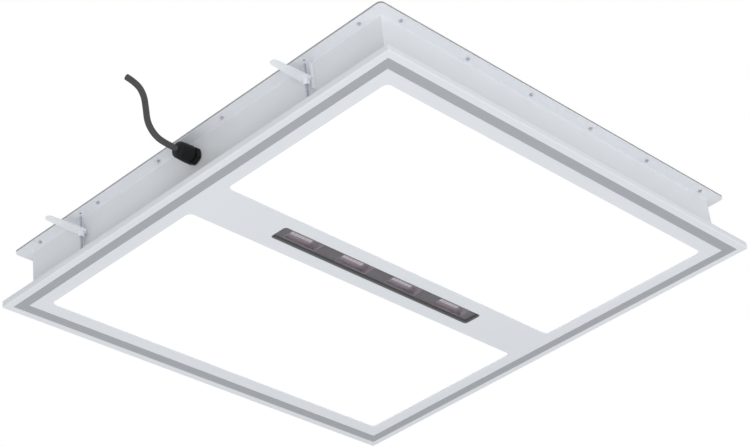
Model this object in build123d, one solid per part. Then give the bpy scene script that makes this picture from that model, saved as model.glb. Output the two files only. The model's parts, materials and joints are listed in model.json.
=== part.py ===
from build123d import *
import os
from math import radians, tan

# Square recessed ceiling luminaire with two opal diffusers and a strip of four emitters.
# Millimetres, +Z up. The origin is the centre of the ceiling plane, the plane of the trim's
# upper face. X runs along the emitter strip, and the cable gland is on the -X wall.

# Trim ring and the seal between trim and door
trim_size = 625.0
trim_bar_width = 9.5
trim_depth = 6.0
trim_corner_radius = 2.0
trim_edge_radius = 1.2
seal_width = 12.7
seal_skin = 1.8
seal_lip = 1.2

# Housing walls
box_setback = 26.0
box_height = 66.9
sheet = 1.0
bend_radius = 0.8
flange_width = 15.5
flange_corner_radius = 6.0

# Back cover and its fasteners
cover_sheet = 1.2
cover_seal_thickness = 0.8
cover_rib_length = 440.0
cover_rib_width = 18.0
cover_rib_height = 2.5
cover_rib_slope = 45.0
cover_rib_pitch = 150.0
cover_rib_count = 3
cover_screw_radius = 2.0
cover_screw_head_radius = 3.6
cover_screw_head_height = 2.4
cover_screw_tip = 2.2
cover_screw_end = 39.0
cover_screws_per_side = 6

# Lamp tray, boards and control gear
tray_height = 30.0
tray_flare = 14.0
tray_skirt_drop = 22.0
tray_sheet = 1.0
standoff_radius = 4.0
standoff_inset = 37.0
board_inset = 12.0
board_width = 22.0
board_thickness = 1.6
board_pitch = 72.0
chip_size = 3.5
chip_height = 0.8
chip_count = 20
driver_length = 280.0
driver_width = 60.0
driver_height = 30.0
driver_offset = 110.0
emitter_driver_length = 160.0
emitter_driver_width = 42.0
driver_corner = 3.0
driver_tab = 12.0
terminal_length = 40.0
terminal_width = 46.0
terminal_height = 24.0
terminal_ways = 5
terminal_well_radius = 3.0
terminal_inset = 23.5

# Cable gland and cord
gland_height = 45.5
gland_thread_radius = 8.0
gland_thread_length = 10.0
gland_hex = 19.0
gland_hex_round = 10.6
gland_hex_thickness = 5.6
gland_washer_radius = 9.2
gland_washer_thickness = 1.5
gland_barrel_radius = 7.2
gland_barrel_length = 14.0
gland_nut_radius = 10.5
gland_nut_taper = 0.7
gland_nut_length = 14.3
gland_dome_length = 4.3
gland_dome_mouth = 5.6
gland_seal_radius = 5.7
locknut_hex = 22.0
locknut_thickness = 5.0
cord_diameter = 7.2
cord_bend_share = 0.45

# Swing-out ceiling clamps
clamp_spread = 185.0
clamp_shift = 3.0
clamp_screw_radius = 1.5
clamp_head_radius = 3.0
clamp_head_height = 2.2
clamp_arm_drop = 25.4
arm_reach = 50.0
arm_tip_width = 8.0
arm_tip_radius = 3.0
arm_thickness = 2.0
nut_hex = 7.2
nut_height = 3.5
barrel_radius = 3.0
guide_sheet = 1.2
guide_depth = 5.0
guide_offset = 4.4
guide_drop = 12.0

# Door, diffusers and their clips
door_sheet = 1.2
window_margin = 17.9
mullion_width = 61.5
window_radius = 6.5
diffuser_overlap = 8.0
diffuser_thickness = 3.0
diffuser_seal_thickness = 0.5
diffuser_seal_setback = 2.0
clip_sheet = 0.6
clip_width = 24.0
clip_finger = 10.0
clip_foot = 4.0
clip_bow_bottom = 3.0
clip_bow_height = 12.0
clip_spread = 140.0

# Emitter strip in the mullion
strip_length = 333.5
strip_width = 25.4
strip_radius = 4.0
bezel_depth = 2.4
bezel_slope = 2.7
bezel_land = 0.4
bezel_flange = 4.5
lens_overlap = 2.5
lens_thickness = 0.8
mask_overlap = 5.0
mask_thickness = 1.0
emitter_count = 4
emitter_end = 15.9
emitter_length = 50.0
emitter_width = 16.2
emitter_depth = 9.3
emitter_end_draft = 5.4
emitter_side_draft = 0.5
emitter_wall = 0.5
emitter_board_thickness = 1.6
emitter_chip = 4.0
emitter_chip_height = 0.8
emitter_chip_columns = 7
emitter_chip_pitch_x = 5.6
emitter_chip_pitch_y = 9.0
rail_sheet = 1.2
rail_lip = 8.8
rail_base = 3.0
rail_fin = 1.5
rail_fin_height = 8.0
rail_fin_count = 5
rail_edge_gap = 1.3
rail_overhang = 20.0
rail_headroom = 3.0

# Clearances
door_gap = 0.3
slide_gap = 0.3
tray_gap = 9.5
hub_gap = 1.7
guide_headroom = 3.1
clamp_screw_headroom = 4.6
cord_gap = 0.45
gland_nut_gap = 3.3
fit_gap = 0.15
running_fit = 0.06
thread_fit = 0.05

# Levels and half sizes that follow from the above
face = -trim_depth
trim_half = trim_size / 2
rim_inner = trim_half - trim_bar_width
seal_inner = rim_inner - seal_width
door_half = seal_inner - door_gap
wall_out = trim_half - box_setback
wall_in = wall_out - sheet
flange_half = wall_out + flange_width
flange_top = box_height + sheet
cover_bottom = flange_top + cover_seal_thickness
cover_top = cover_bottom + cover_sheet
cover_screw_line = (wall_out + flange_half) / 2
cover_screw_reach = (cover_screws_per_side - 1) / 2
cover_screw_pitch = (flange_half - cover_screw_end) / cover_screw_reach
tray_top = tray_height + tray_sheet
tray_skirt_half = wall_in - tray_gap
tray_half = tray_skirt_half - tray_flare
skirt_bottom = tray_top - tray_skirt_drop
standoff_spread = tray_half - standoff_inset
board_length = 2 * (tray_half - board_inset)
clamp_line = seal_inner + seal_lip + slide_gap + clamp_head_radius
hub_radius = clamp_line - wall_out - hub_gap
clamp_arm_level = box_height - clamp_arm_drop
hub_top = clamp_arm_level + arm_thickness + slide_gap
guide_bottom = clamp_arm_level - guide_drop
guide_top = box_height - guide_headroom
window_half = door_half - window_margin
mullion_half = mullion_width / 2
window_width = window_half - mullion_half
window_centre = (window_half + mullion_half) / 2
door_back = face + door_sheet
diffuser_bottom = door_back + diffuser_seal_thickness
diffuser_top = diffuser_bottom + diffuser_thickness
diffuser_half = window_half + diffuser_overlap
bezel_back = face + bezel_depth
lens_back = bezel_back + lens_thickness
mask_back = lens_back + mask_thickness
emitter_pitch = (strip_length - 2 * emitter_end - emitter_length) / (emitter_count - 1)
emitter_floor = lens_back + emitter_depth
emitter_board_back = emitter_floor + emitter_board_thickness
rail_half = mullion_half - diffuser_overlap - rail_edge_gap
gland_front = wall_out + gland_washer_thickness + gland_hex_thickness
barrel_front = gland_front + gland_barrel_length
nut_start = gland_front + gland_nut_gap
dome_start = nut_start + gland_nut_length
cord_start = dome_start + gland_dome_length


def save(shape, name):
    export_step(shape, f"parts/{name}.step")


def block(x0, x1, y0, y1, z0, z1):
    # Box given by its two corners.
    return Pos((x0 + x1) / 2, (y0 + y1) / 2, (z0 + z1) / 2) * Box(x1 - x0, y1 - y0, z1 - z0)


def plate(length, width, radius, z0, z1):
    # Flat plate with rounded corners, centred on the Z axis.
    return Pos(0, 0, z0) * extrude(RectangleRounded(length, width, radius), z1 - z0)


def drum(radius, z0, z1):
    # Upright cylinder on the Z axis.
    return Pos(0, 0, z0) * extrude(Circle(radius), z1 - z0)


def hexagon(across_flats, z0, z1):
    # Upright hexagonal prism on the Z axis.
    return Pos(0, 0, z0) * extrude(RegularPolygon(across_flats / 2, 6, major_radius=False), z1 - z0)


def ring(outer_half, inner_half, z0, z1):
    # Square ring with sharp corners.
    outer = Box(2 * outer_half, 2 * outer_half, z1 - z0)
    inner = Box(2 * inner_half, 2 * inner_half, z1 - z0)
    return Pos(0, 0, (z0 + z1) / 2) * (outer - inner)


def along_x(shape):
    # Turns an upright shape to point along -X at the gland's height.
    return Pos(0, 0, gland_height) * Rot(0, -90, 0) * shape


def mitred(section, half_length):
    # Extrudes a section drawn in X and Z along Y and cuts both ends at 45 degrees.
    bar = extrude(section, half_length, both=True)
    corners = [(0, 0), (half_length, -half_length), (half_length, half_length)]
    wedge = extrude(make_face(Polyline(*corners, close=True)), 2 * box_height, both=True)
    return bar & wedge


def screw_places():
    # Places of the cover screws along one side.
    return [(k - cover_screw_reach) * cover_screw_pitch for k in range(cover_screws_per_side)]


def side_panel():
    # One folded wall on the +X side, with the cover flange above and the trim flange below.
    points = [
        (flange_half, flange_top),
        (wall_in, flange_top),
        (wall_in, -sheet),
        (rim_inner, -sheet),
        (rim_inner, 0),
        (wall_out, 0),
        (wall_out, box_height),
        (flange_half, box_height),
    ]
    section = Plane.XZ * make_face(Polyline(*points, close=True))
    inner_bends = [v for v in section.vertices() if abs(v.X - wall_out) < sheet / 4]
    section = fillet(inner_bends, bend_radius)
    outer_bends = [v for v in section.vertices() if abs(v.X - wall_in) < sheet / 4]
    section = fillet(outer_bends, bend_radius + sheet)
    panel = mitred(section, rim_inner)
    upper = plate(2 * flange_half, 2 * flange_half, flange_corner_radius, box_height / 2, flange_top)
    lower = Pos(0, 0, box_height / 4 - sheet / 2) * Box(
        2 * rim_inner, 2 * rim_inner, box_height / 2 + sheet
    )
    panel = panel & (upper + lower)
    hole = drum(cover_screw_radius + thread_fit, box_height, flange_top)
    for place in screw_places():
        panel -= Pos(cover_screw_line, place, 0) * hole
    return panel


def clamp_place(side):
    # Both clamps of a side are the same bracket, with its screw off the bracket's middle.
    return Pos(clamp_line, side * clamp_spread - clamp_shift, 0)


def clamped(panel):
    # Adds the clamp screw holes in both flanges of a side.
    hole = drum(clamp_screw_radius + thread_fit, -sheet, flange_top)
    return panel - [clamp_place(side) * hole for side in (-1, 1)]


def trim_bar():
    # One mitred bar of the trim ring on the +X side.
    bar = make_face(
        Polyline(
            (rim_inner, face),
            (trim_half, face),
            (trim_half, 0),
            (rim_inner, 0),
            close=True,
        )
    )
    edges = [v for v in bar.vertices() if v.X > trim_half - trim_bar_width / 2]
    section = Plane.XZ * fillet(edges, trim_edge_radius)
    corner = plate(trim_size, trim_size, trim_corner_radius, face, 0)
    return mitred(section, trim_half) & corner


def make_housing():
    panel = side_panel()
    held = clamped(panel)
    gland_hole = Pos(wall_in, 0, 0) * along_x_hole()
    save(held, "side_far")
    save(Rot(0, 0, 90) * panel, "side_back")
    save(Rot(0, 0, 180) * (held - gland_hole), "side_gland")
    save(Rot(0, 0, 270) * panel, "side_front")
    bar = trim_bar()
    for turn, name in enumerate(("far", "back", "gland", "front")):
        save(Rot(0, 0, 90 * turn) * bar, f"trim_{name}")


def along_x_hole():
    # Cable gland hole, drawn through the +X wall before that panel is turned round.
    hole = drum(gland_thread_radius + thread_fit, 0, sheet)
    return Pos(0, 0, gland_height) * Rot(0, 90, 0) * hole


def make_trim_seal():
    # Soft cover strip with a flat skin and two lips that stand on the trim flange.
    skin = ring(rim_inner, seal_inner, face, face + seal_skin)
    outer_lip = ring(rim_inner, rim_inner - seal_lip, face, -sheet)
    inner_lip = ring(seal_inner + seal_lip, seal_inner, face, -sheet)
    save(skin + outer_lip + inner_lip, "trim_seal")


def around_sides(shape, places):
    # Copies a shape made on the +X side to all four sides at the given places.
    return [Rot(0, 0, 90 * turn) * Pos(0, place, 0) * shape for turn in range(4) for place in places]


def make_cover():
    cover = plate(2 * flange_half, 2 * flange_half, flange_corner_radius, cover_bottom, cover_top)
    rib = SlotOverall(cover_rib_length, cover_rib_width)
    rib_outer = extrude(rib, cover_rib_height, taper=cover_rib_slope)
    hollow = SlotOverall(cover_rib_length - 2 * cover_sheet, cover_rib_width - 2 * cover_sheet)
    rib_inner = extrude(hollow, cover_rib_height, taper=cover_rib_slope)
    middle = (cover_rib_count - 1) / 2
    for k in range(cover_rib_count):
        spot = Pos(0, (k - middle) * cover_rib_pitch, cover_top)
        cover += spot * rib_outer
    for k in range(cover_rib_count):
        spot = Pos(0, (k - middle) * cover_rib_pitch, cover_bottom)
        cover -= spot * rib_inner
    seal = plate(2 * flange_half, 2 * flange_half, flange_corner_radius, flange_top, cover_bottom)
    seal -= Pos(0, 0, (flange_top + cover_bottom) / 2) * Box(2 * wall_in, 2 * wall_in, cover_seal_thickness)
    hole = Pos(cover_screw_line, 0, 0) * drum(cover_screw_radius + thread_fit, flange_top, cover_top)
    holes = around_sides(hole, screw_places())
    save(cover - holes, "back_cover")
    save(seal - holes, "cover_seal")
    shank = drum(cover_screw_radius, box_height - cover_screw_tip, cover_top)
    head = drum(cover_screw_head_radius, cover_top, cover_top + cover_screw_head_height)
    head = chamfer(head.edges().sort_by(Axis.Z)[-1:], cover_screw_head_height / 2)
    screw = Pos(cover_screw_line, 0, 0) * (shank + head)
    save(Compound(around_sides(screw, screw_places())), "cover_screws")


def make_tray():
    # Lamp tray: a flat reflector with a sloping skirt, hung from the cover on standoffs.
    base = Pos(0, 0, skirt_bottom) * Rectangle(2 * tray_skirt_half, 2 * tray_skirt_half)
    top = Pos(0, 0, tray_top) * Rectangle(2 * tray_half, 2 * tray_half)
    inner_skirt = tray_skirt_half - tray_sheet
    inner_top = tray_half - tray_sheet + tray_flare * tray_sheet / tray_skirt_drop
    hollow_base = Pos(0, 0, skirt_bottom) * Rectangle(2 * inner_skirt, 2 * inner_skirt)
    hollow_top = Pos(0, 0, tray_height) * Rectangle(2 * inner_top, 2 * inner_top)
    tray = loft([base.face(), top.face()]) - loft([hollow_base.face(), hollow_top.face()])
    save(tray, "lamp_tray")
    post = drum(standoff_radius, tray_top, cover_bottom)
    posts = []
    for x in (-standoff_spread, 0, standoff_spread):
        for y in (-standoff_spread, standoff_spread):
            posts.append(Pos(x, y, 0) * post)
    save(Compound(posts), "tray_standoffs")


def make_boards():
    # Three light boards over each diffuser, chips facing down.
    board = plate(board_length, board_width, board_thickness, tray_height - board_thickness, tray_height)
    chip_top = tray_height - board_thickness
    half = chip_size / 2
    chip = block(-half, half, -half, half, chip_top - chip_height, chip_top)
    pitch = board_length / chip_count
    board += [Pos((k - (chip_count - 1) / 2) * pitch, 0, 0) * chip for k in range(chip_count)]
    number = 0
    for side in (-1, 1):
        for row in (-1, 0, 1):
            number += 1
            save(Pos(0, side * window_centre + row * board_pitch, 0) * board, f"light_board_{number}")


def gear_box(length, width, height):
    # Control gear case with a screw tab at each end, standing on the tray.
    case = plate(length, width, driver_corner, tray_top, tray_top + height)
    case = chamfer(case.faces().sort_by(Axis.Z)[-1].edges(), driver_corner / 2)
    tabs = plate(length + 2 * driver_tab, width / 2, driver_corner, tray_top, tray_top + tray_sheet)
    slot = drum(cover_screw_radius, tray_top, tray_top + tray_sheet)
    reach = (length + driver_tab) / 2
    return case + tabs - [Pos(-reach, 0, 0) * slot, Pos(reach, 0, 0) * slot]


def make_gear():
    driver = gear_box(driver_length, driver_width, driver_height)
    save(Pos(0, driver_offset, 0) * driver, "light_driver")
    small = gear_box(emitter_driver_length, emitter_driver_width, driver_height)
    save(Pos(0, -driver_offset, 0) * small, "emitter_driver")
    start = -wall_in + terminal_inset
    end = start + terminal_length
    body = block(start, end, -terminal_width / 2, terminal_width / 2, tray_top, tray_top + terminal_height)
    way = terminal_width / terminal_ways
    well = drum(terminal_well_radius, tray_top + terminal_height / 2, tray_top + terminal_height)
    for k in range(terminal_ways):
        place = (k - (terminal_ways - 1) / 2) * way
        body -= Pos(start + terminal_length / 4, place, 0) * well
        body -= Pos(end - terminal_length / 4, place, 0) * well
    save(body, "terminal_block")


def make_gland():
    # Each piece is drawn upright along the gland's axis, with height as distance from the centre.
    washer_front = wall_out + gland_washer_thickness
    cord_hole = cord_diameter / 2 + cord_gap
    washer = drum(gland_washer_radius, wall_out, washer_front)
    washer -= drum(gland_thread_radius + thread_fit, wall_out, washer_front)
    save(along_x(washer), "gland_washer")
    body = hexagon(gland_hex, washer_front, gland_front) & drum(gland_hex_round, washer_front, gland_front)
    body += drum(gland_thread_radius, washer_front - gland_thread_length, washer_front)
    body += drum(gland_barrel_radius, gland_front, barrel_front)
    body -= drum(gland_seal_radius, gland_front, barrel_front)
    body -= drum(cord_hole, washer_front - gland_thread_length, gland_front)
    save(along_x(body), "gland_body")
    sleeve = drum(gland_seal_radius - thread_fit, gland_front, barrel_front + thread_fit)
    sleeve -= drum(cord_diameter / 2 + thread_fit, gland_front, barrel_front + thread_fit)
    save(along_x(sleeve), "gland_sleeve")
    nut = dome_nut()
    nut -= drum(gland_barrel_radius + fit_gap, nut_start, barrel_front + 2 * fit_gap)
    nut -= drum(cord_hole, nut_start, cord_start)
    save(along_x(nut), "gland_nut")
    locknut = hexagon(locknut_hex, wall_in - locknut_thickness, wall_in)
    locknut -= drum(gland_thread_radius + thread_fit, wall_in - locknut_thickness, wall_in)
    save(along_x(locknut), "gland_locknut")


def dome_nut():
    # Round nut that tapers slightly and ends in a rounded front.
    back = (gland_nut_radius, nut_start)
    shoulder = (gland_nut_radius - gland_nut_taper, dome_start)
    mouth = (gland_dome_mouth, cord_start)
    outline = Polyline((0, nut_start), back, shoulder)
    outline += TangentArc(shoulder, mouth, tangent=(-gland_nut_taper, gland_nut_length))
    outline += Polyline(mouth, (0, cord_start), (0, nut_start))
    return revolve(Plane.XZ * make_face(outline), Axis.Z)


def make_cord():
    # Route of the free cord from the gland to its cut end, out, up and out again.
    route = [
        (-cord_start, 0, gland_height),
        (-335.0, 0, 45.5),
        (-348.0, 0, 51.4),
        (-356.0, 0, 63.4),
        (-357.0, 0, 81.6),
        (-359.0, 0, 99.0),
        (-368.6, 0, 109.9),
        (-383.0, 0, 111.8),
    ]
    points = [Vector(*p) for p in route]
    radii = []
    for before, point, after in zip(points, points[1:], points[2:]):
        first = point - before
        second = after - point
        turn = first.get_angle(second)
        shorter = min(first.length, second.length)
        radii.append(cord_bend_share * shorter / tan(radians(turn) / 2))
    path = FilletPolyline(*points, radius=radii)
    section = Plane(origin=points[0], z_dir=points[1] - points[0]) * Circle(cord_diameter / 2)
    cord = sweep(section, path)
    print("cord radii", [round(r, 1) for r in radii])
    print("cord length", round(path.length, 1))
    print("cord volume", round(cord.volume), "section times length", round(section.area * path.length))
    save(cord, "supply_cord")
    tail = drum(cord_diameter / 2, wall_in - terminal_inset, cord_start)
    save(along_x(tail), "cord_tail")


def clamp_arm():
    # Flat tapered arm that points along +X from the screw.
    hub = Circle(hub_radius)
    half_tip = arm_tip_width / 2
    blade = make_face(
        Polyline(
            (0, -hub_radius),
            (arm_reach, -half_tip),
            (arm_reach, half_tip),
            (0, hub_radius),
            close=True,
        )
    )
    tips = [v for v in blade.vertices() if v.X > arm_reach / 2]
    outline = fillet(tips, arm_tip_radius) + hub - Circle(barrel_radius + running_fit)
    return Pos(0, 0, clamp_arm_level) * extrude(outline, arm_thickness)


def clamp_nut():
    # Hexagon nut below the arm with the barrel that the arm turns on.
    nut_top = clamp_arm_level - slide_gap
    barrel_top = hub_top + guide_sheet
    nut = hexagon(nut_hex, nut_top - nut_height, nut_top)
    nut += drum(barrel_radius, nut_top, barrel_top)
    return nut - drum(clamp_screw_radius + running_fit, nut_top - nut_height, barrel_top)


def clamp_guide(side):
    # Plate on the barrel whose leg slides along the wall, so that the nut can't turn; the leg is
    # notched for the arm's hub, and side is the way that it is offset.
    root = wall_out + slide_gap - clamp_line
    near = side * guide_offset
    far = side * (guide_offset + guide_sheet)
    base = drum(barrel_radius + guide_sheet, hub_top, hub_top + guide_sheet)
    base += block(root, 0, min(0, far), max(0, far), hub_top, hub_top + guide_sheet)
    base -= drum(barrel_radius + thread_fit, hub_top, hub_top + guide_sheet)
    leg = block(root, root + guide_depth, min(near, far), max(near, far), guide_bottom, guide_top)
    leg -= drum(hub_radius + slide_gap, clamp_arm_level - slide_gap, hub_top)
    return base + leg


def make_clamps():
    shank = drum(clamp_screw_radius, -sheet, box_height - clamp_screw_headroom)
    head = drum(clamp_head_radius, -sheet - clamp_head_height, -sheet)
    screw = shank + chamfer(head.edges().sort_by(Axis.Z)[:1], clamp_head_height / 3)
    screws = []
    number = 0
    for turn in (180, 0):
        for side in (-1, 1):
            number += 1
            spot = Rot(0, 0, turn) * clamp_place(side)
            screws.append(spot * screw)
            save(spot * clamp_nut(), f"clamp_nut_{number}")
            save(spot * clamp_guide(side), f"clamp_guide_{number}")
            save(spot * clamp_arm(), f"clamp_arm_{number}")
    save(Compound(screws), "clamp_screws")


def window_outline(grow):
    # Outline of one diffuser window on the +Y side, grown by a margin all round.
    radius = window_radius + grow
    return Pos(0, window_centre) * RectangleRounded(2 * (window_half + grow), window_width + 2 * grow, radius)


def make_door():
    # Face sheet with a folded rim, two windows and the opening for the emitter strip.
    rim = ring(door_half, door_half - door_sheet, face, -sheet - door_gap)
    skin = Pos(0, 0, (face + door_back) / 2) * Box(2 * door_half, 2 * door_half, door_sheet)
    opening = Pos(0, 0, face) * extrude(window_outline(0), door_sheet)
    slot = plate(strip_length, strip_width, strip_radius, face, door_back)
    save(skin + rim - opening - Rot(0, 0, 180) * opening - slot, "door_frame")
    gasket = window_outline(diffuser_overlap) - window_outline(diffuser_seal_setback)
    gasket = Pos(0, 0, door_back) * extrude(gasket, diffuser_seal_thickness)
    panel = Pos(0, 0, diffuser_bottom) * extrude(window_outline(diffuser_overlap), diffuser_thickness)
    for turn, name in ((180, "front"), (0, "back")):
        save(Rot(0, 0, turn) * gasket, f"diffuser_seal_{name}")
        save(Rot(0, 0, turn) * panel, f"diffuser_{name}")


def make_clips():
    # Spring clips that press a diffuser's edge down and grip the housing wall.
    spine = diffuser_half + clip_sheet
    crest = wall_in - slide_gap
    foot = block(spine, spine + clip_foot, 0, clip_width, door_back, door_back + clip_sheet)
    spine_plate = block(spine, spine + clip_sheet, 0, clip_width, door_back, clip_bow_bottom)
    finger = block(
        spine - clip_finger, spine + clip_sheet, 0, clip_width, diffuser_top, diffuser_top + clip_sheet
    )
    top = clip_bow_bottom + clip_bow_height
    middle = clip_bow_bottom + clip_bow_height / 2
    bow = Line((spine, clip_bow_bottom), (spine + clip_sheet, clip_bow_bottom))
    bow += ThreePointArc((spine + clip_sheet, clip_bow_bottom), (crest, middle), (spine + clip_sheet, top))
    bow += Line((spine + clip_sheet, top), (spine, top))
    bow += ThreePointArc((spine, top), (crest - clip_sheet, middle), (spine, clip_bow_bottom))
    leaf = extrude(Plane.XZ * make_face(bow), -clip_width)
    clip = Pos(0, -clip_width / 2, 0) * (foot + spine_plate + finger + leaf)
    save(Compound(around_sides(clip, (-clip_spread, clip_spread))), "door_clips")


def tapered(length, width, radius, z0, slope, z1, inner_radius):
    # Rounded block that narrows by slope on every side from z0 to z1.
    wide = Pos(0, 0, z0) * RectangleRounded(length, width, radius)
    narrow = Pos(0, 0, z1) * RectangleRounded(length - 2 * slope, width - 2 * slope, inner_radius)
    return loft([wide.face(), narrow.face()])


def emitter_places():
    return [(k - (emitter_count - 1) / 2) * emitter_pitch for k in range(emitter_count)]


def make_strip():
    # Bezel with a sloping inner edge, lens, mask, four cups and their board.
    collar_length = strip_length - 2 * fit_gap
    collar_width = strip_width - 2 * fit_gap
    bezel = plate(collar_length, collar_width, strip_radius - fit_gap, face, bezel_back)
    wide_length = strip_length + 2 * bezel_flange
    wide_width = strip_width + 2 * bezel_flange
    bezel += plate(wide_length, wide_width, strip_radius, door_back, bezel_back)
    mouth_length = collar_length - 2 * bezel_land
    mouth_width = collar_width - 2 * bezel_land
    mouth_radius = strip_radius - fit_gap - bezel_land
    bezel -= tapered(
        mouth_length, mouth_width, mouth_radius, face, bezel_slope, bezel_back, mouth_radius / 2
    )
    save(bezel, "strip_bezel")
    sight_length = mouth_length - 2 * bezel_slope
    sight_width = mouth_width - 2 * bezel_slope
    lens = plate(
        sight_length + 2 * lens_overlap, sight_width + 2 * lens_overlap, lens_overlap, bezel_back, lens_back
    )
    save(lens, "strip_lens")
    mask = plate(
        sight_length + 2 * mask_overlap, sight_width + 2 * mask_overlap, lens_overlap, lens_back, mask_back
    )
    hole_length = emitter_length + 2 * fit_gap
    hole_width = emitter_width + 2 * fit_gap
    hole = block(-hole_length / 2, hole_length / 2, -hole_width / 2, hole_width / 2, lens_back, mask_back)
    save(mask - [Pos(x, 0, 0) * hole for x in emitter_places()], "emitter_mask")
    cup = emitter_cup()
    for number, place in enumerate(emitter_places(), start=1):
        save(Pos(place, 0, 0) * cup, f"emitter_cup_{number}")
    save(emitter_board(), "emitter_board")


def emitter_cup():
    # Reflector cup, open at both ends, that narrows towards its board.
    inside_length = emitter_length - 2 * emitter_wall
    inside_width = emitter_width - 2 * emitter_wall
    return emitter_wedge(emitter_length, emitter_width) - emitter_wedge(inside_length, inside_width)


def emitter_wedge(length, width):
    # Block that narrows from the lens to the board by the cup's draft.
    mouth = Pos(0, 0, lens_back) * Rectangle(length, width)
    root = Rectangle(length - 2 * emitter_end_draft, width - 2 * emitter_side_draft)
    return loft([mouth.face(), (Pos(0, 0, emitter_floor) * root).face()])


def emitter_board():
    # One board behind all four cups, with two rows of chips in each.
    span = (emitter_count - 1) * emitter_pitch + emitter_length
    board = plate(span, emitter_width, emitter_wall, emitter_floor, emitter_board_back)
    half = emitter_chip / 2
    chip = block(-half, half, -half, half, emitter_floor - emitter_chip_height, emitter_floor)
    chips = []
    for place in emitter_places():
        for column in range(emitter_chip_columns):
            x = place + (column - (emitter_chip_columns - 1) / 2) * emitter_chip_pitch_x
            chips.append(Pos(x, -emitter_chip_pitch_y / 2, 0) * chip)
            chips.append(Pos(x, emitter_chip_pitch_y / 2, 0) * chip)
    return board + chips


def make_rail():
    # Finned centre rail that clamps the board and holds down both diffusers' inner edges.
    base_top = emitter_board_back + rail_base
    length = 2 * (diffuser_half - slide_gap)
    profile = Pos(0, emitter_board_back + rail_base / 2) * Rectangle(2 * rail_half, rail_base)
    wall_height = base_top - diffuser_top
    for side in (-1, 1):
        wall = Rectangle(rail_sheet, wall_height)
        profile += Pos(side * (rail_half - rail_sheet / 2), (base_top + diffuser_top) / 2) * wall
        lip = Rectangle(rail_lip, rail_sheet)
        profile += Pos(side * (rail_half + rail_lip / 2), diffuser_top + rail_sheet / 2) * lip
    fin_pitch = (2 * rail_half - rail_fin) / (rail_fin_count - 1)
    for k in range(rail_fin_count):
        place = (k - (rail_fin_count - 1) / 2) * fin_pitch
        profile += Pos(place, base_top + rail_fin_height / 2) * Rectangle(rail_fin, rail_fin_height)
    rail = extrude(Plane.YZ * profile, length / 2, both=True)
    # The ends are cut low so that they pass under the tray's skirt.
    inner_end = strip_length / 2 + rail_overhang
    low = skirt_bottom - rail_headroom
    cut = block(inner_end, diffuser_half, -rail_half, rail_half, low, base_top + rail_fin_height)
    save(rail - cut - Rot(0, 0, 180) * cut, "centre_rail")


os.makedirs("parts", exist_ok=True)
make_housing()
make_trim_seal()
make_cover()
make_tray()
make_boards()
make_gear()
make_gland()
make_cord()
make_clamps()
make_door()
make_clips()
make_strip()
make_rail()
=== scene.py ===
import json
import math

import bmesh
import bpy
from mathutils import Matrix, Vector


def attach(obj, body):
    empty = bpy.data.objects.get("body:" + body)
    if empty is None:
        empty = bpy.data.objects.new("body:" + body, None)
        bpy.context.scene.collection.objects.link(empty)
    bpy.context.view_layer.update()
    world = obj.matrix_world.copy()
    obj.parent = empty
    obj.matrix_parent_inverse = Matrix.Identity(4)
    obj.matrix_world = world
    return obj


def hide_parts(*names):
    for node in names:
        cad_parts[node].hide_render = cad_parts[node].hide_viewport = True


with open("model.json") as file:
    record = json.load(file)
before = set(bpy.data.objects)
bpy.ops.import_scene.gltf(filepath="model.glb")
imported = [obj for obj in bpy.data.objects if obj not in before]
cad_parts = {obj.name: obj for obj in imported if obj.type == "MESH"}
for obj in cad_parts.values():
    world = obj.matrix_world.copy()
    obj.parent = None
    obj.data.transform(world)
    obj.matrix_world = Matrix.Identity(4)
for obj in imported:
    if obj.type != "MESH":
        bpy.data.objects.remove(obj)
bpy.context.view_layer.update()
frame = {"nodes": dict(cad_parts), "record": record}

noiseMean = 0.5
white = (1.0, 1.0, 1.0)
black = (0.0, 0.0, 0.0)


class Wire:  # a shader socket; sums on it add Math nodes
    def __init__(self, finish, socket):
        self.finish = finish
        self.socket = socket

    def sum(self, operation, *values):
        return self.finish.node("ShaderNodeMath", {"operation": operation}, dict(enumerate(values)))

    def __add__(self, other):
        return self.sum("ADD", self, other)

    def __radd__(self, other):
        return self.sum("ADD", other, self)

    def __sub__(self, other):
        return self.sum("SUBTRACT", self, other)

    def __rsub__(self, other):
        return self.sum("SUBTRACT", other, self)

    def __mul__(self, other):
        return self.sum("MULTIPLY", self, other)

    def __rmul__(self, other):
        return self.sum("MULTIPLY", other, self)

    def __truediv__(self, other):
        return self.sum("DIVIDE", self, other)

    def __rtruediv__(self, other):
        return self.sum("DIVIDE", other, self)

    def __mod__(self, other):
        return self.sum("FLOORED_MODULO", self, other)

    def __abs__(self):
        return self.sum("ABSOLUTE", self)

    def __lt__(self, other):
        return self.sum("LESS_THAN", self, other)

    def __gt__(self, other):
        return self.sum("GREATER_THAN", self, other)

    def __or__(self, other):
        return self.sum("MAXIMUM", self, other)

    def swing(self, amount):  # noise as a change about zero
        return amount * (self - noiseMean)


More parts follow.
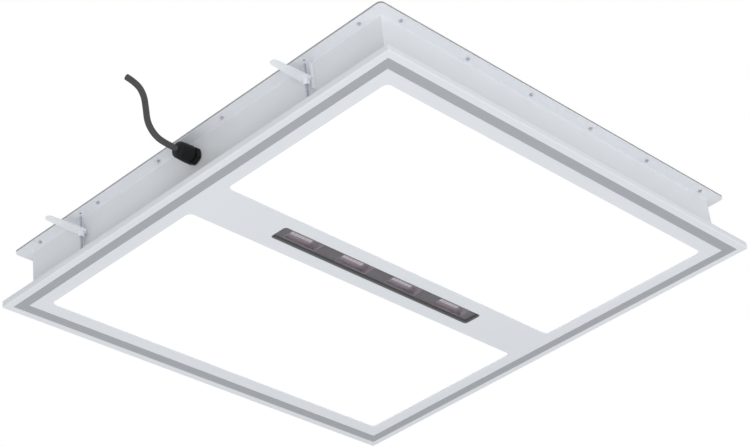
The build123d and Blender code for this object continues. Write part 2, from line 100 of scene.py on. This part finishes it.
class Finish:  # the shader tree of a material or of the world
    def __init__(self, owner, **fixed):
        owner.use_nodes = True
        self.material = owner
        self.tree = owner.node_tree
        self.shader = self.tree.nodes.get("Principled BSDF")
        for key, value in fixed.items():
            self.feed(key, value)

    def feed(self, key, value):  # key is the socket's name in camelCase
        name = "".join(" " + c if c.isupper() else c for c in key).title()
        name = {"Specular Level": "Specular IOR Level"}.get(name, name)
        self.plug(self.shader.inputs[name], value)

    def plug(self, socket, value):
        if isinstance(value, Wire):
            self.tree.links.new(value.socket, socket)
        elif hasattr(socket.default_value, "__len__") and len(value) < len(socket.default_value):
            socket.default_value = (*value, 1.0)
        else:
            socket.default_value = value

    def node(self, kind, settings=None, sockets=None, out=0):
        made = self.tree.nodes.new(kind)
        for key, value in (settings or {}).items():
            if key == "stops":
                ramp = made.color_ramp
                while len(ramp.elements) < len(value):
                    ramp.elements.new(0.5)
                for element, (place, shade) in zip(ramp.elements, value):
                    element.position = place
                    element.color = (*shade, 1.0)
            else:
                setattr(made, key, value)
        for key, value in (sockets or {}).items():
            self.plug(made.inputs[key], value)
        return Wire(self, made.outputs[out])

    def spot(self, stretch=(1, 1, 1)):  # object coordinates, scaled along each axis
        place = self.node("ShaderNodeTexCoord", out="Object")
        return self.node("ShaderNodeMapping", None, {"Vector": place, "Scale": stretch})

    def axis(self, letter):
        place = self.node("ShaderNodeTexCoord", out="Object")
        return self.node("ShaderNodeSeparateXYZ", None, {0: place}, out=letter)

    def noise(self, scale, detail=2.0, stretch=(1, 1, 1)):
        values = {"Vector": self.spot(stretch), "Scale": scale, "Detail": detail}
        return self.node("ShaderNodeTexNoise", None, values)

    def shade(self, amount, low, high):  # colour between two by a value
        return self.node("ShaderNodeValToRGB", {"stops": [(0.0, low), (1.0, high)]}, {0: amount})

    def tones(self, amount, colour, span):  # colour between a darker and a paler tone of itself
        low, high = span
        return self.shade(amount, scaled(colour, low), scaled(colour, high))

    def mix(self, amount, first, second):
        values = {0: amount, 6: first, 7: second}
        return self.node("ShaderNodeMix", {"data_type": "RGBA"}, values, out=2)

    def bump(self, height, look):
        values = {"Height": height, "Distance": look["relief"], "Strength": look["strength"]}
        self.feed("normal", self.node("ShaderNodeBump", None, values))

    def seen(self):  # 1 on rays that show the background itself
        kinds = ("Camera", "Glossy", "Transmission")
        camera, glossy, through = [self.node("ShaderNodeLightPath", out=f"Is {kind} Ray") for kind in kinds]
        return camera | glossy | through

    def surface(self, plain, shown):  # one shader for light, another where the background shows
        blend = self.node("ShaderNodeMixShader", None, {0: self.seen(), 1: plain, 2: shown})
        output = next(node for node in self.tree.nodes if "Surface" in node.inputs)
        self.plug(output.inputs["Surface"], blend)


def newFinish(name, **fixed):
    return Finish(bpy.data.materials.new(name), **fixed)


def linear(*levels):  # screen levels 0-255 to linear light
    parts = [level / 255 for level in levels]
    return tuple(p / 12.92 if p < 0.04045 else ((p + 0.055) / 1.055) ** 2.4 for p in parts)


def scaled(colour, amount):
    return tuple(part * amount for part in colour)


# white is the powder coat; side and clamp are copies of the same coat made paler, a little for the walls and
# more for the clamps, as painted light
paintLook = {
    "white": linear(226, 230, 235), "side": linear(228, 231, 235), "clamp": linear(236, 240, 244),
    "specular": 0.4, "cloud": 9, "grain": 1100, "tones": (0.975, 1.02),
    "roughness": 0.46, "grainGloss": 0.1, "cloudGloss": 0.06, "relief": 0.000018, "strength": 0.6,
}
# painted shade around the gland, standing in for the shadow the gland casts on the wall
glandPaintedShade = {
    "middle": (0, 0, 0.0455), "near": 0.035, "far": 0.075, "tone": 0.92, "shadeNoise": 45, "ragged": 0.5,
}


def powderCoat(name, colour, paintedShade=None):  # painted shade: a darker zone around the gland on an X wall, standing in for the gland's shadow
    paint = newFinish(name, specularLevel=paintLook["specular"])
    cloud = paint.noise(paintLook["cloud"], 3)
    grain = paint.noise(paintLook["grain"])
    tone = paint.tones(cloud, colour, paintLook["tones"])
    # painted shade: darker towards the gland, with a ragged edge
    if paintedShade:
        points = {0: paint.spot((0, 1, 1)), 1: paintedShade["middle"]}
        away = paint.node("ShaderNodeVectorMath", {"operation": "DISTANCE"}, points, out="Value")
        amount = (paintedShade["far"] - away) / (paintedShade["far"] - paintedShade["near"])
        shadeNoise = paint.noise(paintedShade["shadeNoise"], 3).swing(paintedShade["ragged"])
        tone = paint.mix(amount + shadeNoise, tone, scaled(colour, paintedShade["tone"]))
    gloss = grain.swing(paintLook["grainGloss"]) + cloud.swing(paintLook["cloudGloss"])
    paint.feed("baseColor", tone)
    paint.feed("roughness", paintLook["roughness"] + gloss)
    paint.bump(grain, paintLook)
    return paint.material


zincLook = {
    "dark": (0.38, 0.39, 0.41), "pale": (0.54, 0.55, 0.57), "metallic": 0.85,
    "flake": 115, "cloud": 14, "fine": 900, "shares": (0.45, 0.35, 0.2),
    "roughness": 0.42, "flakeGloss": 0.1, "fineGloss": 0.08,
    "fineRelief": 0.3, "relief": 0.00002, "strength": 0.5,
}


def galvanised():
    zinc = newFinish("galvanisedSheet", metallic=zincLook["metallic"])
    values = {"Vector": zinc.spot(), "Scale": zincLook["flake"], "Randomness": 1.0}
    flakes = zinc.node("ShaderNodeTexVoronoi", {"feature": "F1"}, values, out="Color")
    tone = zinc.node("ShaderNodeSeparateColor", None, {0: flakes})
    fine = zinc.noise(zincLook["fine"])
    cloud = zinc.noise(zincLook["cloud"], 3)
    toneShare, cloudShare, fineShare = zincLook["shares"]
    blend = toneShare * tone + cloudShare * cloud + fineShare * fine
    gloss = zincLook["flakeGloss"] * tone + fine.swing(zincLook["fineGloss"])
    zinc.feed("baseColor", zinc.shade(blend, zincLook["dark"], zincLook["pale"]))
    zinc.feed("roughness", zincLook["roughness"] + gloss)
    zinc.bump(tone + zincLook["fineRelief"] * fine, zincLook)
    return zinc.material


steelLook = {
    "metallic": 0.9, "cloud": 240, "fine": 2600, "shares": (0.6, 0.4),
    "cloudGloss": 0.12, "fineGloss": 0.1, "relief": 0.00001, "strength": 0.5,
}


def platedSteel(name, dark, pale, roughness):
    steel = newFinish(name, metallic=steelLook["metallic"])
    cloud = steel.noise(steelLook["cloud"], 3)
    fine = steel.noise(steelLook["fine"])
    cloudShare, fineShare = steelLook["shares"]
    steel.feed("baseColor", steel.shade(cloudShare * cloud + fineShare * fine, dark, pale))
    gloss = cloud.swing(steelLook["cloudGloss"]) + fine.swing(steelLook["fineGloss"])
    steel.feed("roughness", roughness + gloss)
    steel.bump(fine, steelLook)
    return steel.material


rubberLook = {
    "cloud": 60, "grain": 1700, "shares": (0.6, 0.4), "tones": (0.94, 1.06),
    "grainGloss": 0.14, "relief": 0.00003, "strength": 0.7,
}


def rubber(name, colour, roughness=0.72, specular=0.3):
    soft = newFinish(name, specularLevel=specular)
    cloud = soft.noise(rubberLook["cloud"], 3)
    grain = soft.noise(rubberLook["grain"], 3)
    cloudShare, grainShare = rubberLook["shares"]
    soft.feed("baseColor", soft.tones(cloudShare * cloud + grainShare * grain, colour, rubberLook["tones"]))
    soft.feed("roughness", roughness + grain.swing(rubberLook["grainGloss"]))
    soft.bump(grain, rubberLook)
    return soft.material


plasticLook = {
    "cloud": 40, "spark": 1400, "tones": (0.93, 1.07), "sparkGloss": 0.16, "relief": 0.00003, "strength": 0.6,
}


def moulded(name, colour, roughness=0.5, specular=0.35):
    plastic = newFinish(name, specularLevel=specular)
    cloud = plastic.noise(plasticLook["cloud"])
    spark = plastic.noise(plasticLook["spark"])
    plastic.feed("baseColor", plastic.tones(cloud, colour, plasticLook["tones"]))
    plastic.feed("roughness", roughness + spark.swing(plasticLook["sparkGloss"]))
    plastic.bump(spark, plasticLook)
    return plastic.material


# deep is painted shade down the slope; edge is a painted highlight where the slope meets the face
bezelLook = {
    "deep": (0.058, 0.058, 0.06), "edge": (0.15, 0.15, 0.158), "fade": -0.0043, "reach": 0.0017,
    "speckle": 0.1, "specular": 0.25, "roughness": 0.5,
}


def bezelPlastic():  # painted light: dark deep in the recess (painted shade) and paler where the slope meets the face (painted highlight on its edge)
    bezel = newFinish("bezelPlastic", specularLevel=bezelLook["specular"])
    spark = bezel.noise(plasticLook["spark"])
    paintedLight = (bezelLook["fade"] - bezel.axis("Z")) / bezelLook["reach"] + spark.swing(bezelLook["speckle"])
    bezel.feed("baseColor", bezel.shade(paintedLight, bezelLook["deep"], bezelLook["edge"]))
    bezel.feed("roughness", bezelLook["roughness"] + spark.swing(plasticLook["sparkGloss"]))
    bezel.bump(spark, plasticLook)
    return bezel.material


opalLook = {
    "body": (0.93, 0.935, 0.94), "tones": (0.99, 1.0), "glow": 0.22, "coolGlow": (0.97, 0.98, 1.0),
    "cloud": 7, "grain": 420, "specular": 0.3, "roughness": 0.3, "grainGloss": 0.08,
}


def opalSheet():
    opal = newFinish("opalAcrylic", specularLevel=opalLook["specular"], emissionStrength=opalLook["glow"])
    cloud = opal.noise(opalLook["cloud"])
    grain = opal.noise(opalLook["grain"])
    opal.feed("baseColor", opal.tones(cloud, opalLook["body"], opalLook["tones"]))
    opal.feed("emissionColor", opal.shade(cloud, opalLook["coolGlow"], white))
    opal.feed("roughness", opalLook["roughness"] + grain.swing(opalLook["grainGloss"]))
    return opal.material


boardLook = {
    "mask": (0.82, 0.83, 0.82), "chip": (0.85, 0.62, 0.16), "trace": (0.62, 0.64, 0.64),
    "chipTop": 0.0284, "chipMargin": 0.0001, "firstRow": 0.079425, "rowPitch": 0.072,
    "traceOffset": 0.0055, "traceHalf": 0.0012, "fine": 800, "specular": 0.4, "roughness": 0.5,
    "chipGloss": 0.2, "fineGloss": 0.1, "fineRelief": 0.2, "relief": 0.00003, "strength": 0.5,
}


def lampBoard():
    board = newFinish("lampBoard", specularLevel=boardLook["specular"])
    pitch = boardLook["rowPitch"]
    across = abs((abs(board.axis("Y")) - boardLook["firstRow"] + pitch / 2) % pitch - pitch / 2)
    trace = abs(across - boardLook["traceOffset"]) < boardLook["traceHalf"]
    chip = board.axis("Z") < boardLook["chipTop"] - boardLook["chipMargin"]
    fine = board.noise(boardLook["fine"])
    ground = board.mix(trace, boardLook["mask"], boardLook["trace"])
    gloss = fine.swing(boardLook["fineGloss"]) - boardLook["chipGloss"] * chip
    board.feed("baseColor", board.mix(chip, ground, boardLook["chip"]))
    board.feed("roughness", boardLook["roughness"] + gloss)
    board.bump(trace + boardLook["fineRelief"] * fine, boardLook)
    return board.material


# the board floor's glow is painted light from the chips; the chips' glow is the emitters' own
emitterLook = {
    "floor": linear(168, 152, 165), "chip": linear(190, 196, 197), "tones": (0.85, 1.1),
    "floorLevel": 0.0065, "chipHeight": 0.0008, "fine": 900, "patch": 430, "patchContrast": 6,
    "glow": 0.25, "floorPaintedGlow": (0.74, 0.62, 0.72), "chipGlow": white, "patchGlow": (0.86, 0.64, 0.8),
    "specular": 0.4, "roughness": 0.4, "chipGloss": 0.15, "fineGloss": 0.1,
}


def emitterBoard():
    board = newFinish(
        "emitterBoard", specularLevel=emitterLook["specular"], emissionStrength=emitterLook["glow"])
    chip = board.axis("Z") < emitterLook["floorLevel"] - emitterLook["chipHeight"] / 2
    fine = board.noise(emitterLook["fine"], 3)
    ground = board.tones(fine, emitterLook["floor"], emitterLook["tones"])
    board.feed("baseColor", board.mix(chip, ground, emitterLook["chip"]))
    patch = board.noise(emitterLook["patch"]).swing(emitterLook["patchContrast"])
    lit = board.mix(patch, emitterLook["chipGlow"], emitterLook["patchGlow"])
    gloss = fine.swing(emitterLook["fineGloss"]) - emitterLook["chipGloss"] * chip
    # painted glow on the board floor around the chips, standing in for their light
    board.feed("emissionColor", board.mix(chip, emitterLook["floorPaintedGlow"], lit))
    board.feed("roughness", emitterLook["roughness"] + gloss)
    return board.material


# root is the wall colour made paler near the floor, painted light from the emitters; the cup's glow is
# painted light as well
cupLook = {
    "wall": linear(142, 133, 141), "root": linear(184, 172, 182), "rim": linear(172, 160, 171),
    "tones": (0.6, 1.4), "mouth": -0.0028, "rimDepth": 0.0002, "depth": 0.0093, "paintedLightShare": 0.8,
    "glow": 0.14, "paintedRootGlow": (0.86, 0.68, 0.8), "fine": 270, "specular": 0.5, "metallic": 0.7,
    "roughness": 0.2, "rimRoughness": 0.25, "fineGloss": 0.06,
}


def emitterCup():
    cup = newFinish("emitterCup", specularLevel=cupLook["specular"], emissionStrength=cupLook["glow"])
    rim = cup.axis("Z") < cupLook["mouth"] + cupLook["rimDepth"]
    fine = cup.noise(cupLook["fine"], 3)
    deep = (cup.axis("Z") - cupLook["mouth"]) / cupLook["depth"]
    wall = cup.tones(fine, cupLook["wall"], cupLook["tones"])
    # painted light: the wall turns paler towards the root, standing in for the emitters' light falling on it
    wall = cup.mix(cupLook["paintedLightShare"] * deep * deep, wall, cupLook["root"])
    gloss = cupLook["rimRoughness"] * rim + fine.swing(cupLook["fineGloss"])
    cup.feed("baseColor", cup.mix(rim, wall, cupLook["rim"]))
    # painted glow near the root, standing in for the emitters' light on the cup wall
    cup.feed("emissionColor", cup.shade(deep * deep * deep, black, cupLook["paintedRootGlow"]))
    cup.feed("metallic", cupLook["metallic"] - cupLook["metallic"] * rim)
    cup.feed("roughness", cupLook["roughness"] + gloss)
    return cup.material


lensLook = {
    "tint": linear(122, 119, 124), "tones": (0.97, 1.03), "cover": 0.12, "cloud": 30,
    "specular": 0.4, "roughness": 0.1, "cloudGloss": 0.05,
}


def lensSheet():
    lens = newFinish("stripLens", specularLevel=lensLook["specular"], alpha=lensLook["cover"])
    cloud = lens.noise(lensLook["cloud"])
    lens.feed("baseColor", lens.tones(cloud, lensLook["tint"], lensLook["tones"]))
    lens.feed("roughness", lensLook["roughness"] + lensLook["cloudGloss"] * cloud)
    return lens.material


railLook = {
    "dark": (0.6, 0.6, 0.61), "pale": (0.78, 0.78, 0.79), "metallic": 0.95, "streak": 300,
    "stretch": (0.02, 1, 1), "roughness": 0.3, "streakGloss": 0.16, "relief": 0.00002, "strength": 0.5,
}


def brushedRail():
    rail = newFinish("brushedRail", metallic=railLook["metallic"])
    streak = rail.noise(railLook["streak"], 3, railLook["stretch"])
    rail.feed("baseColor", rail.shade(streak, railLook["dark"], railLook["pale"]))
    rail.feed("roughness", railLook["roughness"] + railLook["streakGloss"] * streak)
    rail.bump(streak, railLook)
    return rail.material


finishes = {
    "white_paint": powderCoat("powderCoat", paintLook["white"]),
    "galvanised": galvanised(),
    "zinc_screw": platedSteel("zincPlate", (0.5, 0.5, 0.56), (0.7, 0.71, 0.77), roughness=0.4),
    "spring_steel": platedSteel("springSteel", (0.4, 0.41, 0.43), (0.6, 0.61, 0.63), roughness=0.28),
    "grey_seal": rubber("greySeal", linear(170, 173, 179)),
    "dark_seal": rubber("darkSeal", linear(96, 97, 101)),
    "clear_seal": rubber("siliconeSeal", linear(229, 233, 238), roughness=0.5),
    "opal": opalSheet(),
    "board": lampBoard(),
    "gear_case": moulded("gearCase", (0.7, 0.71, 0.71)),
    "terminal": moulded("terminalBody", (0.62, 0.62, 0.56)),
    "gland_black": moulded("glandNylon", (0.011, 0.0115, 0.012), roughness=0.48, specular=0.16),
    "cord_grey": rubber("cordSheath", (0.068, 0.069, 0.071), roughness=0.6, specular=0.25),
    "bezel_grey": bezelPlastic(),
    "mask_grey": moulded("maskPlastic", (0.165, 0.158, 0.173), specular=0.25),
    "lens_glass": lensSheet(),
    "cup": emitterCup(),
    "rail_metal": brushedRail(),
}
ownFinish = {
    "emitter_board": emitterBoard(),
    "side_gland": powderCoat("glandSideCoatPaintedLightAndShade", paintLook["side"], glandPaintedShade),
}
plainSides = ("side_far", "side_back", "side_front")
ownFinish.update(dict.fromkeys(plainSides, powderCoat("sideCoatPaintedLight", paintLook["side"])))
# the clamp parts take the paler copy of the coat, painted light
clampNodes = [f"clamp_{kind}_{n}" for kind in ("arm", "guide", "nut") for n in range(1, 5)]
ownFinish.update(dict.fromkeys(clampNodes, powderCoat("clampCoatPaintedLight", paintLook["clamp"])))

for part in frame["record"]["subparts"]:
    node = frame["nodes"][part["node"]]
    look = ownFinish.get(part["node"], finishes[part["material_slot"]])
    if not node.material_slots:
        node.data.materials.append(look)
    for place in node.material_slots:
        place.material = look
print("finishes:", len(bpy.data.materials))

creaseAngle = math.radians(32)
tiny = 1e-6


def addPiece(name, bm, body, slot, nodes=(), look=None):  # makes a piece, which may replace nodes
    bmesh.ops.recalc_face_normals(bm, faces=bm.faces[:])
    for face in bm.faces:
        face.smooth = True
    for edge in bm.edges:
        edge.smooth = edge.calc_face_angle(0) < creaseAngle
    mesh = bpy.data.meshes.new(name)
    bm.to_mesh(mesh)
    bm.free()
    piece = bpy.data.objects.new(name, mesh)
    bpy.context.scene.collection.objects.link(piece)
    mesh.materials.append(look or finishes[slot])
    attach(piece, body)
    if nodes:
        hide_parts(*nodes)


def vertsOf(parts):
    return [part for part in parts if isinstance(part, bmesh.types.BMVert)]


def openEdges(bm, low, high):  # boundary edges whose middle lies between two heights
    rim = [edge for edge in bm.edges if edge.is_boundary]
    return [edge for edge in rim if low < (edge.verts[0].co.z + edge.verts[1].co.z) / 2 < high]


def line(bm, points):  # open chain of edges through points given as radius and height
    chain = [bm.verts.new((radius, 0, height)) for radius, height in points]
    return chain + [bm.edges.new(pair) for pair in zip(chain, chain[1:])]


def lathe(bm, points, steps, weld):  # turns a profile once around Z
    bmesh.ops.spin(bm, geom=line(bm, points), cent=(0, 0, 0), axis=(0, 0, 1), angle=math.tau, steps=steps,
                   use_merge=True)
    bmesh.ops.remove_doubles(bm, verts=bm.verts[:], dist=weld)


screwForm = {
    "threadDepth": 0.55, "crest": (0.44, 0.56), "weld": 1 / 200, "headSteps": 24, "bendSteps": 6,
    "tipReach": 1.5, "neckReach": 2.5, "recessTaper": (0.55, 0.55, 1), "nearTop": (0.9, 1.1), "inside": 0.9,
}


def crossRecess(bm, look):  # closes the top of a screw head with a cross recess
    size, top = look["recess"], look["headHeight"]
    nearTop = [top * share for share in screwForm["nearTop"]]
    ring = openEdges(bm, *nearTop)
    made = bmesh.ops.create_grid(bm, x_segments=3, y_segments=3, size=size)["verts"]
    for vert in made:
        for axis in (0, 1):
            if abs(vert.co[axis]) < size * screwForm["inside"]:
                vert.co[axis] = math.copysign(look["recessArm"], vert.co[axis])
        vert.co.z = top
    faces = dict.fromkeys(face for vert in made for face in vert.link_faces)
    cross = [face for face in faces if min(map(abs, face.calc_center_median().xy)) < tiny]
    sunk = vertsOf(bmesh.ops.extrude_face_region(bm, geom=cross)["geom"])
    bmesh.ops.delete(bm, geom=cross, context="FACES")
    bmesh.ops.translate(bm, verts=sunk, vec=(0, 0, -look["recessDepth"]))
    bmesh.ops.scale(bm, verts=sunk, vec=screwForm["recessTaper"])
    square = [edge for edge in openEdges(bm, *nearTop) if edge not in ring]
    bmesh.ops.subdivide_edges(bm, edges=square, cuts=1)
    bmesh.ops.bridge_loops(bm, edges=openEdges(bm, *nearTop))


def threadedScrew(look):  # head above z = 0, thread below it
    bm = bmesh.new()
    pitch, radius, head = look["pitch"], look["radius"], look["head"]
    turns = int(look["length"] / pitch) - 1
    start = -look["length"]
    root = radius - screwForm["threadDepth"] * pitch
    weld = pitch * screwForm["weld"]
    crest = [(radius, start + share * pitch) for share in screwForm["crest"]]
    vee = line(bm, [(root, start), *crest, (root, start + pitch)])
    bmesh.ops.spin(bm, geom=vee, cent=(0, 0, 0), axis=(0, 0, 1), dvec=(0, 0, pitch / look["steps"]),
                   angle=turns * math.tau, steps=turns * look["steps"])
    bmesh.ops.remove_doubles(bm, verts=bm.verts[:], dist=weld)
    tip = openEdges(bm, start - pitch, start + screwForm["tipReach"] * pitch)
    bmesh.ops.holes_fill(bm, edges=tip, sides=0)
    neck = openEdges(bm, -screwForm["neckReach"] * pitch, pitch)
    rise, height, steps = look["headRise"], look["headHeight"], screwForm["bendSteps"]
    bend = [math.radians(90 / steps * k) for k in range(steps + 1)]
    pan = [(head - rise * (1 - math.cos(a)), height - rise * (1 - math.sin(a))) for a in bend]
    lathe(bm, [(root, 0), (head, 0)] + pan, screwForm["headSteps"], weld)
    collar = openEdges(bm, -2 * weld, 2 * weld)
    bmesh.ops.bridge_loops(bm, edges=[edge for edge in neck if edge.is_valid] + collar)
    crossRecess(bm, look)
    return bm


def copies(bm, places):  # repeats a mesh at a list of matrices, and drops the first one
    first = bm.verts[:] + bm.edges[:] + bm.faces[:]
    for place in places:
        made = bmesh.ops.duplicate(bm, geom=first)["geom"]
        bmesh.ops.transform(bm, matrix=place, verts=vertsOf(made))
    bmesh.ops.delete(bm, geom=vertsOf(first), context="VERTS")
    return bm


coverScrew = {
    "radius": 0.002, "pitch": 0.0007, "length": 0.0052, "steps": 16, "head": 0.0036, "headHeight": 0.0024,
    "headRise": 0.0014, "recess": 0.0015, "recessArm": 0.00042, "recessDepth": 0.0013,
    "seat": 0.0699, "line": 0.29425, "spacing": 0.1052, "perSide": 6, "turnEach": 0.7, "turnSide": 1.1,
}


def coverScrews():
    places = []
    for side in range(4):
        for k in range(coverScrew["perSide"]):
            along = (k - (coverScrew["perSide"] - 1) / 2) * coverScrew["spacing"]
            spin = Matrix.Rotation(coverScrew["turnEach"] * k + coverScrew["turnSide"] * side, 4, "Z")
            spot = Matrix.Translation((coverScrew["line"], along, coverScrew["seat"]))
            places.append(Matrix.Rotation(side * math.pi / 2, 4, "Z") @ spot @ spin)
    bm = copies(threadedScrew(coverScrew), places)
    addPiece("coverScrews", bm, "housing", "zinc_screw", ["cover_screws"])


clampScrew = {
    "radius": 0.0015, "pitch": 0.0005, "length": 0.0633, "steps": 12, "head": 0.003, "headHeight": 0.0022,
    "headRise": 0.0014, "recess": 0.0014, "recessArm": 0.00036, "recessDepth": 0.0012,
    "seat": -0.001, "places": [(-0.2948, 0.188), (-0.2948, -0.182), (0.2948, -0.188), (0.2948, 0.182)],
}


def clampScrews():
    turned = Matrix.Rotation(math.pi, 4, "X")
    places = [Matrix.Translation((x, y, clampScrew["seat"])) @ turned for x, y in clampScrew["places"]]
    bm = copies(threadedScrew(clampScrew), places)
    addPiece("clampScrews", bm, "housing", "zinc_screw", ["clamp_screws"])


nutCollar = {"radius": 0.0038, "bore": 0.0022, "top": 0.0379, "bottom": 0.0346, "edge": 0.0004, "steps": 24}


def nutCollars():  # round lower end of each clamp nut, with a wide mouth around the screw
    outer, bore, edge = nutCollar["radius"], nutCollar["bore"], nutCollar["edge"]
    top, bottom = nutCollar["top"], nutCollar["bottom"]
    inside = [(bore, top), (bore, bottom)]
    outside = [(outer - edge, bottom), (outer, bottom + edge), (outer, top)]
    for number, (x, y) in enumerate(clampScrew["places"], 1):
        bm = bmesh.new()
        lathe(bm, inside + outside + inside[:1], nutCollar["steps"], tiny)
        bmesh.ops.translate(bm, verts=bm.verts[:], vec=(x, y, 0))
        addPiece(f"clampCollar{number}", bm, f"clamp_{number}_carriage", "white_paint",
                 look=ownFinish[f"clamp_nut_{number}"])


coverScrews()
clampScrews()
nutCollars()
print("screws and collars made")

cornerSteps = 6
softSteps = 2
sharpAngle = 1.0


def roundEdges(bm, edges, offset, steps):
    bmesh.ops.bevel(bm, geom=edges, offset=offset, segments=steps, profile=0.5, affect="EDGES", material=-1)


def roundedBlock(look):  # upright block with rounded corners
    bm = bmesh.new()
    size = Vector((look["length"], look["width"], look["high"] - look["low"]))
    middle = Vector((0, 0, (look["high"] + look["low"]) / 2))
    bmesh.ops.create_cube(bm, size=1, matrix=Matrix.LocRotScale(middle, None, size))
    upright = [edge for edge in bm.edges if abs(edge.verts[0].co.z - edge.verts[1].co.z) > size.z / 2]
    roundEdges(bm, upright, look["corner"], cornerSteps)
    return bm


def softenEdges(bm, look):  # rounds the sharp edges that lie flat at the heights named
    for height in look["softened"]:
        flat = [edge for edge in bm.edges if all(abs(vert.co.z - height) < tiny for vert in edge.verts)]
        sharp = [edge for edge in flat if edge.calc_face_angle(0) > sharpAngle]
        roundEdges(bm, sharp, look["edge"], softSteps)


stripLens = {
    "length": 0.332, "width": 0.0239, "corner": 0.0025, "low": -0.0036, "high": -0.0029,
    "edge": 0.00015, "softened": (-0.0036, -0.0029),
}


def lensPlate():  # stays just clear of the mask, so that no two faces coincide behind the clear sheet
    bm = roundedBlock(stripLens)
    softenEdges(bm, stripLens)
    addPiece("stripLens", bm, "door", "lens_glass", ["strip_lens"])


trimLip = {
    "length": 0.62496, "width": 0.62496, "corner": 0.002, "low": -0.0012, "high": 0.0023,
    "thickness": 0.0016, "edge": 0.0005, "softened": (0.0023,),
}


def lipRing():  # thin lip on the outer edge of the trim
    bm = roundedBlock(trimLip)
    bm.normal_update()
    caps = [face for face in bm.faces if abs(face.normal.z) > 0.5]
    bmesh.ops.inset_individual(bm, faces=caps, thickness=trimLip["thickness"], use_even_offset=True)
    inner = [edge for cap in caps for edge in cap.edges]
    bmesh.ops.delete(bm, geom=caps, context="FACES_ONLY")
    bmesh.ops.bridge_loops(bm, edges=inner)
    softenEdges(bm, trimLip)
    addPiece("trimLip", bm, "housing", "clear_seal")


lensPlate()
lipRing()
print("lens and lip made")

cord = {
    "route": [
        (-0.3155, 0, 0.0455), (-0.335, 0, 0.0455), (-0.348, 0, 0.0514), (-0.356, 0, 0.0634),
        (-0.357, 0, 0.0816), (-0.359, 0, 0.099), (-0.3686, 0, 0.1099), (-0.383, 0, 0.1118),
    ],
    "diameter": 0.0072, "length": 0.1105, "order": 3, "steps": 16, "roundSteps": 7,
}


def supplyCord():
    curve = bpy.data.curves.new("supplyCord", "CURVE")
    curve.dimensions = "3D"
    run = curve.splines.new("NURBS")
    run.points.add(len(cord["route"]) - 1)
    for point, place in zip(run.points, cord["route"]):
        point.co = (*place, 1.0)
    run.order_u = cord["order"]
    run.use_endpoint_u = True
    curve.resolution_u = cord["steps"]
    curve.bevel_depth = cord["diameter"] / 2
    curve.bevel_resolution = cord["roundSteps"]
    curve.use_fill_caps = True
    piece = bpy.data.objects.new("supplyCord", curve)
    bpy.context.scene.collection.objects.link(piece)
    curve.materials.append(finishes["cord_grey"])
    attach(piece, "housing")
    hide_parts("supply_cord")


supplyCord()
print("cord laid")

view = {
    "place": (-1.62684, -1.37789, -1.27778),
    "right": (0.690434, -0.716016, -0.103062),
    "down": (0.326358, 0.435457, -0.838968),
    "lens": 101.12, "sensor": 36.0,
}


def addCamera():
    data = bpy.data.cameras.new("camera")
    data.sensor_fit = "HORIZONTAL"
    data.sensor_width = view["sensor"]
    data.lens = view["lens"]
    right = Vector(view["right"]).normalized()
    up = -Vector(view["down"]).normalized()
    back = right.cross(up)
    turn = Matrix((right, up, back)).transposed().to_4x4()
    camera = bpy.data.objects.new("camera", data)
    camera.matrix_world = Matrix.Translation(view["place"]) @ turn
    bpy.context.scene.collection.objects.link(camera)
    bpy.context.scene.camera = camera


studio = {
    "skyLevel": 0.55, "floorLevel": -6.0, "floorHalf": 18.0, "floorTones": (0.86, 0.88), "floorCloud": 0.6,
    "floorRoughness": 0.9,
}


def addSky():
    world = bpy.data.worlds.new("studio")
    bpy.context.scene.world = world
    sky = Finish(world)
    soft = sky.node("ShaderNodeBackground", None, {"Color": white, "Strength": studio["skyLevel"]})
    plain = sky.node("ShaderNodeBackground", None, {"Color": white, "Strength": 1.0})
    sky.surface(soft, plain)


def addFloor():
    bm = bmesh.new()
    bmesh.ops.create_grid(bm, x_segments=1, y_segments=1, size=studio["floorHalf"])
    bmesh.ops.translate(bm, verts=bm.verts[:], vec=(0, 0, studio["floorLevel"]))
    mesh = bpy.data.meshes.new("floor")
    bm.to_mesh(mesh)
    bm.free()
    floor = bpy.data.objects.new("floor", mesh)
    bpy.context.scene.collection.objects.link(floor)
    pale = newFinish("paleFloor", roughness=studio["floorRoughness"], specularLevel=0.0)
    cloud = pale.noise(studio["floorCloud"])
    pale.feed("baseColor", pale.tones(cloud, white, studio["floorTones"]))
    pale.surface(Wire(pale, pale.shader.outputs[0]), pale.node("ShaderNodeEmission"))
    mesh.materials.append(pale.material)


lamps = {
    "besideCamera": {"place": (-2.39, -2.04, -2.57), "size": 2.6, "power": 63},
    "underFar": {"place": (-2.0, 1.2, -3.2), "size": 2.6, "power": 14},
    "rightSide": {"place": (0.4, -3.47, -1.92), "size": 2.6, "power": 31},
    "overTop": {"place": (1.2, 1.6, 3.5), "size": 3.0, "power": 69},
}


def addLamps():
    for name, lamp in lamps.items():
        data = bpy.data.lights.new(name, "AREA")
        data.shape = "DISK"
        data.size = lamp["size"]
        data.energy = lamp["power"]
        light = bpy.data.objects.new(name, data)
        bpy.context.scene.collection.objects.link(light)
        light.location = lamp["place"]
        light.rotation_mode = "QUATERNION"
        light.rotation_quaternion = (-Vector(lamp["place"])).to_track_quat("-Z", "Y")
        light.visible_camera = False
        light.visible_glossy = False


addCamera()
addSky()
addFloor()
addLamps()
bpy.context.scene.view_settings.view_transform = "Standard"
print("camera and studio set")
